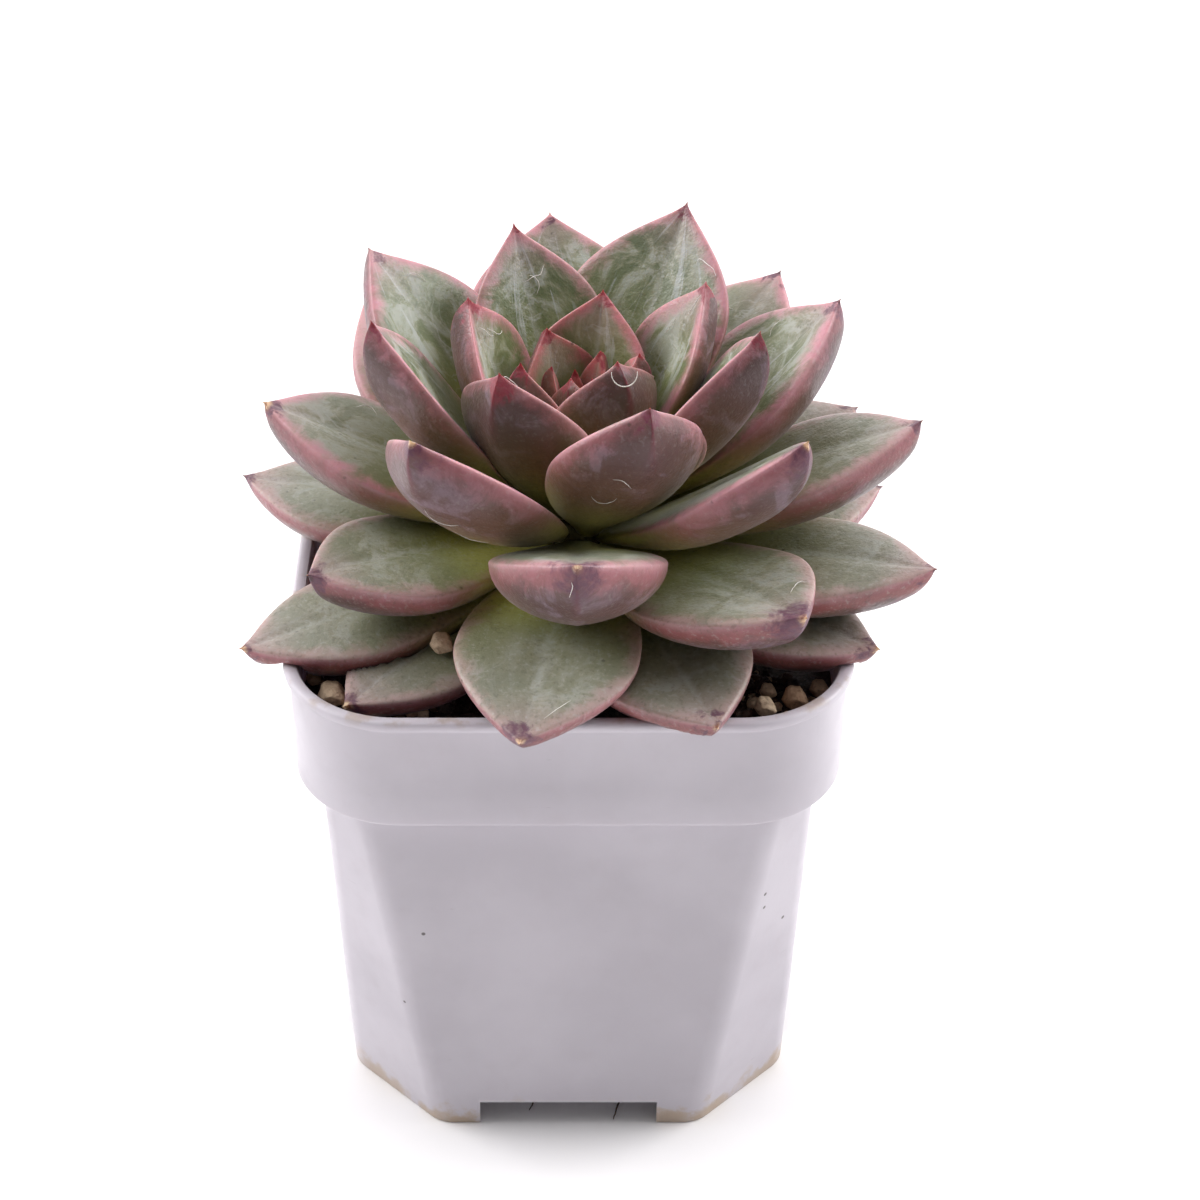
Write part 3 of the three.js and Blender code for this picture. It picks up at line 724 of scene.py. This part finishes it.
def make_pot(paint):
    height, wall, out = POT["height"], POT["wall"], POT["lip_out"]
    foot, bottom = POT["foot_height"], POT["band_bottom"]
    lip = height - POT["lip_height"]
    levels = [
        (foot, body_outline(foot, wall)),
        (0.25, body_outline(0, wall)),
        (0, body_outline(0, wall - 0.25)),
        (0, body_outline(0, 0.3)),
        (0.1, body_outline(0, 0.1)),
        (0.4, body_outline(0, 0)),
        *[(z, body_outline(z, 0)) for z in (10, 20, 30, 40, 50)],
        (bottom - 0.5, body_outline(bottom, 0)),
        (bottom - 0.1, body_outline(bottom, -0.15)),
        (bottom, body_outline(bottom, -0.55)),
        (bottom, band_outline(out + BAND_TAPER + 0.7)),
        (bottom + 0.15, band_outline(out + BAND_TAPER + 0.25)),
        (bottom + 0.6, band_outline(out + BAND_TAPER)),
        (bottom + 6, band_outline(out + 0.1)),
        (lip - 0.6, band_outline(out)),
        (lip - 0.15, band_outline(out - 0.15)),
        (lip + 0.1, band_outline(out - 0.55)),
        (lip + 0.35, band_outline(0.08)),
        (lip + 0.8, band_outline(0)),
        (height - 0.35, band_outline(0.06)),
        (height - 0.12, band_outline(0.25)),
        (height, band_outline(0.6)),
        (height - 0.03, band_outline(1.2)),
        (height - 0.2, band_outline(1.7)),
        (height - 0.7, band_outline(out + wall)),
        (height - 4, band_outline(out + wall)),
        (bottom + wall, band_outline(out + wall)),
        (bottom + wall, body_outline(bottom, wall)),
        (foot + POT["floor"], body_outline(foot, wall)),
    ]
    points, faces = outline_solid(levels)
    inside = np.zeros(len(points))
    inside[OUTLINE_STEPS * INSIDE_FROM : OUTLINE_STEPS * len(levels)] = 1
    pot = add_mesh("pot_fine", points, faces, paint, attributes={"inside": inside})
    reach = CUTTER_REACH
    low, high = AXIS - Vector((0, 0, 5)), AXIS + Vector((0, 0, POT["notch_height"]))
    half = POT["notch_half"]
    step = POT["drain_step"]
    cutters = [
        make_box("notch_x", (low.x - reach, low.y - half, low.z), (high.x + reach, high.y + half, high.z)),
        make_box("notch_y", (low.x - half, low.y - reach, low.z), (high.x + half, high.y + reach, high.z)),
        *[make_drain(x * step, y * step) for x, y in ((0, 0), (1, 1), (-1, 1), (-1, -1), (1, -1))],
    ]
    bpy.context.view_layer.update()
    cut_with(pot, cutters)
    apply_modifiers(pot)
    for cutter in cutters:
        bpy.data.objects.remove(cutter)
    pot.data.set_sharp_from_angle(angle=math.radians(40))
    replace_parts(pot, "pot")


# ---- Soil, crumbs and gravel ----
CRUMB_SIZES = (0.7, 2.6)  # the smallest and the largest
CRUMBS = 520
GRIT = 110
GRAINS = 10
FINE_DETAIL = 2  # subdivisions of a small lump
GRAIN_DETAIL = 4  # subdivisions of a grain
GRAIN_FILL = 1.04  # a grain's size as a share of its solid's longer side
PEBBLE_FLAT = 0.75
PEBBLE_FACET = 0.41  # how far from a lump's middle its flat facets lie, for a lump 1 across


def lumps(x, y, z, sizes):
    """Layered noise at a place, each size in millimetres with its height."""
    return sum(height * noise.noise(Vector((x, y, z)) / size) for size, height in sizes)


def soil_height(x, y):
    flat = Vector((abs(x - AXIS.x), abs(y - AXIS.y)))
    share = min(1, max(0, (max(flat.x, flat.y) / 35 - 0.6) / 0.4))
    crown = SOIL_CROWN + (SOIL_EDGE - SOIL_CROWN) * share
    return crown - 0.2 + lumps(x, y, 3.1, ((6, 0.7), (2.2, 0.6), (0.9, 0.4)))


def make_soil(paint):
    inset = POT["wall"] + GAP
    floor = POT["foot_height"] + POT["floor"] + GAP
    shelf = POT["band_bottom"] + POT["wall"] + GAP
    edge = band_outline(POT["lip_out"] + inset)
    levels = [
        (floor, body_outline(floor, inset)),
        (shelf, body_outline(POT["band_bottom"], inset)),
        (shelf, edge),
        (SOIL_EDGE - 1.2, edge),
        *[(SOIL_EDGE, edge * scale) for scale in np.linspace(1, 0.02, 90)],
    ]
    points, faces = outline_solid(levels)
    for point in points[OUTLINE_STEPS * 4 :]:
        point[2] = soil_height(point[0], point[1])
    soil = add_mesh("soil_fine", points, faces, paint, attributes={"tone": np.zeros(len(points))})
    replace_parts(soil, "soil")


def pebble(chance, centre, size, detail):
    """A rough angular lump as points and triangles."""
    builder = bmesh.new()
    bmesh.ops.create_icosphere(builder, subdivisions=detail, radius=0.5)
    offset = Vector([chance.uniform(-50, 50) for _ in range(3)])
    planes = [Vector([chance.gauss(0, 1) for _ in range(3)]).normalized() for _ in range(7)]
    turn = chance.uniform(0, 6.3)
    stretch = Vector((1, chance.uniform(0.7, 0.95), PEBBLE_FLAT * chance.uniform(0.85, 1.1)))
    points = []
    for vertex in builder.verts:
        point = vertex.co * (1 + 0.3 * noise.noise(vertex.co * 2.2 + offset))
        for plane in planes:
            over = point.dot(plane) - PEBBLE_FACET
            if over > 0:
                point -= plane * over * 0.85
        point *= 1 + 0.05 * noise.noise(vertex.co * 9 + offset)
        x, y = point.x * stretch.x, point.y * stretch.y
        points.append((
            centre[0] + size * (x * math.cos(turn) - y * math.sin(turn)),
            centre[1] + size * (x * math.sin(turn) + y * math.cos(turn)),
            centre[2] + size * point.z * stretch.z,
        ))
    faces = [tuple(vertex.index for vertex in face.verts) for face in builder.faces]
    builder.free()
    return points, faces


def scatter(name, paint, places, detail):
    """Many small lumps in one piece. Each place is a centre, a size and a tone."""
    chance = random.Random(SEED * 7 + len(places))
    points, faces, tones = [], [], []
    for centre, size, tone in places:
        more, triangles = pebble(chance, centre, size, detail)
        faces += [tuple(index + len(points) for index in face) for face in triangles]
        points += more
        tones += [tone] * len(more)
    return add_mesh(name, points, faces, paint, attributes={"tone": tones}, sharp=50)


def soil_places(count, chance):
    """Random places over the soil, most of them towards the pot's wall, where the leaves leave it in view."""
    low, high = CRUMB_SIZES
    places = []
    edge = band_outline(POT["lip_out"] + POT["wall"] + 1.4)
    for _ in range(count):
        x, y = edge[chance.randrange(OUTLINE_STEPS)] * chance.uniform(0.5, 1) ** 0.5
        size = low + (high - low) * chance.random() ** 2
        x, y = x + AXIS.x, y + AXIS.y
        places.append(((x, y, soil_height(x, y) + 0.22 * size), size, chance.random()))
    return places


def make_gravel(paint):
    chance = random.Random(SEED + 400)
    for number in range(1, GRAINS + 1):
        low, high = (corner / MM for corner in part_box(f"gravel_{number:02d}"))
        centre, span = (low + high) / 2, high - low
        place = (centre, GRAIN_FILL * max(span.x, span.y), chance.random())
        grain = scatter(f"gravel_{number:02d}_fine", paint, [place], GRAIN_DETAIL)
        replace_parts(grain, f"gravel_{number:02d}")


# ---- Stem ----
STEM_SIDES = 40
STEM_RINGS = 36
STEM_FOOT = 4.7
STEM_FOOT_TOP = 79
STEM_SINK = 1.2
STEM_INSET = 0.75


def make_stem(paint):
    around = STEM_SIDES
    low, high = (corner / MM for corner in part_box("stem"))
    heights = np.linspace(low.z, high.z, STEM_RINGS)
    # Above its foot the stem narrows with the leaf bases that it carries.
    roots = [(stage[4], stage[3]) for stage in reversed(STAGES) if stage[4] > STEM_FOOT_TOP]
    shoulders = [(low.z, STEM_FOOT), (STEM_FOOT_TOP, STEM_FOOT)]
    shoulders += [(base - STEM_SINK, root - STEM_INSET) for base, root in roots]
    radii = np.interp(heights, [s[0] for s in shoulders], [s[1] for s in shoulders])
    points = []
    for height, radius in zip(heights, radii):
        for step in range(around):
            angle = 2 * math.pi * step / around
            ring = 0.12 * math.sin(height * 2.4)
            ring += lumps(3 * math.cos(angle), 3 * math.sin(angle), height, ((1.5, 0.2),))
            reach = max(0.05, radius - 0.15 + ring * min(1, radius / 2))
            points.append((ROSETTE.x + reach * math.cos(angle), ROSETTE.y + reach * math.sin(angle), height))
    count = len(points)
    points += [(ROSETTE.x, ROSETTE.y, low.z), (ROSETTE.x, ROSETTE.y, high.z)]
    faces = tube_faces(len(heights), around)
    for step in range(around):
        following = (step + 1) % around
        faces.append((following, step, count))
        faces.append((count - around + step, count - around + following, count + 1))
    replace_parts(add_mesh("stem_fine", points, faces, paint), "stem")


# ---- Fine threads ----
THREAD_SIDES = 6
FIBRE_STEP = 0.25
FIBRE_RADIUS = 0.05
LOOP_RADIUS = 0.09
ROOT_STEP = 0.32
ROOT_STEPS = 60
ROOT_RADIUS = 0.2


def thread(points, radius):
    """A thin tube along points, tapering at both ends."""
    points = np.asarray(points, float)
    rings = []
    for index, point in enumerate(points):
        ahead = points[min(index + 1, len(points) - 1)] - points[max(index - 1, 0)]
        ahead /= np.linalg.norm(ahead)
        side = np.cross(ahead, (0.3, 0.2, 1))
        side /= np.linalg.norm(side)
        other = np.cross(ahead, side)
        share = index / (len(points) - 1)
        reach = radius * (0.35 + 0.65 * math.sin(math.pi * share))
        for step in range(THREAD_SIDES):
            angle = 2 * math.pi * step / THREAD_SIDES
            rings.append(point + reach * (math.cos(angle) * side + math.sin(angle) * other))
    faces = tube_faces(len(points), THREAD_SIDES)
    last = len(rings) - THREAD_SIDES
    faces.append(tuple(reversed(range(THREAD_SIDES))))
    faces.append(tuple(range(last, last + THREAD_SIDES)))
    return rings, faces


def on_leaf(number, share, side, lift, under):
    """A place just over a leaf's upper or under face."""
    leaf = leaves[number - 1]
    top = math.sqrt(max(0.0, 1 - side * side))
    share, side = np.array([share]), np.array([side])
    up = section(leaf, share, side, np.array([-top if under else top]))
    return to_frame(leaf, share, side * half_width(leaf, share), up + (-lift if under else lift))[0]


# Fine fibres that cling to the leaves: the leaf, where one starts (share and side), its length in millimetres and
# whether it lies on the under face.
FIBRES = [
    (18, 0.8, -0.55, 6, False), (18, 0.74, -0.7, 4, False), (15, 0.78, 0.1, 6, False),
    (15, 0.72, -0.1, 4, False), (12, 0.86, 0.1, 5, False), (12, 0.82, -0.3, 4, False),
    (13, 0.84, 0.1, 5, False), (13, 0.8, 0.4, 3, False), (21, 0.82, 0.6, 4, False),
    (26, 0.8, 0.2, 5, False), (20, 0.8, -0.5, 4, False), (27, 0.93, -0.3, 4, True),
    (22, 0.7, 0.35, 6, True), (22, 0.62, 0.1, 5, True), (19, 0.75, -0.5, 4, True),
    (19, 0.66, -0.3, 4, True), (14, 0.88, 0.5, 4, False), (35, 0.82, 0.6, 4, False),
    (32, 0.85, 0.4, 5, False), (25, 0.7, -0.6, 4, False),
]


def fibre_path(chance, number, share, side, length, under):
    """A wandering line over a leaf's face, which lifts a little off it in the middle."""
    leaf = leaves[number - 1]
    heading, swing = chance.uniform(0, 6.3), chance.choice((-1, 1)) * chance.uniform(0.02, 0.16)
    points = []
    steps = int(length / FIBRE_STEP)
    for step in range(steps):
        heading += swing + chance.uniform(-0.25, 0.25)
        share += FIBRE_STEP * math.cos(heading) / leaf["length"]
        side += FIBRE_STEP * math.sin(heading) / leaf["half"]
        lift = 0.1 + 0.35 * math.sin(math.pi * step / steps) * chance.uniform(0.8, 1)
        points.append(on_leaf(number, min(share, 0.97), max(-0.9, min(0.9, side)), lift, under))
    return points


def make_fibres(paint):
    chance = random.Random(SEED + 500)
    points, faces = [], []

    def add(path, radius):
        rings, quads = thread(path, radius)
        faces.extend(tuple(index + len(points) for index in face) for face in quads)
        points.extend(rings)

    for number, share, side, length, under in FIBRES:
        add(fibre_path(chance, number, share, side, length, under), FIBRE_RADIUS)
    # One fibre hangs in a loop under the tip of a leaf near the centre.
    hook = on_leaf(11, 0.97, 0.0, 0.3, True)
    loop = [hook + np.array((1.65 * math.cos(turn), -0.3 - 0.6 * math.sin(turn), 0.3 - 1.6 * math.sin(turn)))
            for turn in np.linspace(-0.15, math.pi + 0.1, 24)]
    add(loop, LOOP_RADIUS)
    add_mesh("leaf_fibres", points, faces, paint)


def make_roots(paint):
    """Thin roots that have come out of the drain holes and lie in the pot's foot, behind the notches."""
    chance = random.Random(SEED + 600)
    points, faces = [], []
    step_out = POT["drain_step"]
    starts = ((-1, -1, -1.2), (-1, -1, -0.5), (1, -1, -1.9), (1, -1, -2.7), (0, 0, -1.4))
    for column, row, heading in starts:
        x, y, z = column * step_out, row * step_out, POT["foot_height"]
        path = []
        for step in range(ROOT_STEPS):
            heading += chance.uniform(-0.22, 0.22)
            z = max(0.25, z - 0.35) if step else z
            x, y = x + ROOT_STEP * math.cos(heading), y + ROOT_STEP * math.sin(heading)
            path.append((AXIS.x + x, AXIS.y + y, z))
        rings, quads = thread(path, ROOT_RADIUS)
        faces += [tuple(index + len(points) for index in face) for face in quads]
        points += rings
    add_mesh("root_threads", points, faces, paint)


def build():
    leaf_skin = leaf_paint()
    for leaf in leaves:
        make_leaf(leaf, leaf_skin)
    make_pot(pot_paint())
    dark_soil = soil_paint("soil_mix", rgb(44, 35, 32), rgb(88, 72, 64))
    make_soil(dark_soil)
    chance = random.Random(SEED + 300)
    scatter("soil_crumbs", dark_soil, soil_places(CRUMBS, chance), FINE_DETAIL)
    stone = gravel_paint()
    make_gravel(stone)
    scatter("gravel_grit", stone, soil_places(GRIT, chance), FINE_DETAIL)
    make_stem(plain_fibre_paint("stem_bark", rgb(104, 98, 62), rgb(142, 132, 92), 0.7))
    make_fibres(plain_fibre_paint("fibre", rgb(214, 208, 202), rgb(244, 240, 236), 0.6))
    make_roots(plain_fibre_paint("root_bark", rgb(58, 44, 38), rgb(96, 74, 62), 0.8))


build()

# ---- Floor and light ----
FLOOR_REACH = 3
FLOOR_DROP = 0.02  # in millimetres, so that the feet don't share its plane
SOFTBOX_SIZE = 0.5
SOFTBOX_POWER = 5
AIM = Vector((0, 0, 0.07))

floor_mesh = bpy.data.meshes.new("floor")
corners = [(x * FLOOR_REACH, y * FLOOR_REACH, 0) for x, y in ((-1, -1), (1, -1), (1, 1), (-1, 1))]
floor_mesh.from_pydata(corners, [], [(0, 1, 2, 3)])
floor_mesh.materials.append(floor_paint())
floor = bpy.data.objects.new("floor", floor_mesh)
floor.location.z = -FLOOR_DROP * MM
bpy.context.scene.collection.objects.link(floor)

world = bpy.data.worlds.new("studio")
bpy.context.scene.world = world
world.use_nodes = True
nodes, links = world.node_tree.nodes, world.node_tree.links
nodes.clear()
direction = nodes.new("ShaderNodeTexCoord").outputs["Generated"]
split = nodes.new("ShaderNodeSeparateXYZ")
links.new(direction, split.inputs[0])
# The tent is bright behind, above and at the sides, and darker towards the front.
front = nodes.new("ShaderNodeMapRange")
front.interpolation_type = "SMOOTHSTEP"
links.new(split.outputs["Y"], front.inputs["Value"])
front.inputs["From Min"].default_value = -0.6
front.inputs["From Max"].default_value = 0.35
front.inputs["To Min"].default_value = 0.17
front.inputs["To Max"].default_value = 1.7
tent = nodes.new("ShaderNodeBackground")
tent.inputs["Color"].default_value = (1, 0.985, 0.99, 1)
links.new(front.outputs[0], tent.inputs["Strength"])
backdrop = nodes.new("ShaderNodeBackground")
backdrop.inputs["Strength"].default_value = 1.0
seen = nodes.new("ShaderNodeLightPath")
both = nodes.new("ShaderNodeMixShader")
links.new(seen.outputs["Is Camera Ray"], both.inputs[0])
links.new(tent.outputs[0], both.inputs[1])
links.new(backdrop.outputs[0], both.inputs[2])
links.new(both.outputs[0], nodes.new("ShaderNodeOutputWorld").inputs["Surface"])


def softbox(name, place):
    light = bpy.data.lights.new(name, "AREA")
    light.size = SOFTBOX_SIZE
    light.energy = SOFTBOX_POWER
    lamp = bpy.data.objects.new(name, light)
    lamp.location = place
    lamp.rotation_euler = (AIM - Vector(place)).to_track_quat("-Z", "Y").to_euler()
    bpy.context.scene.collection.objects.link(lamp)


softbox("softbox_left", (-0.7, 0.15, 0.55))
softbox("softbox_right", (0.7, 0.15, 0.55))
bpy.context.scene.view_settings.view_transform = "Standard"
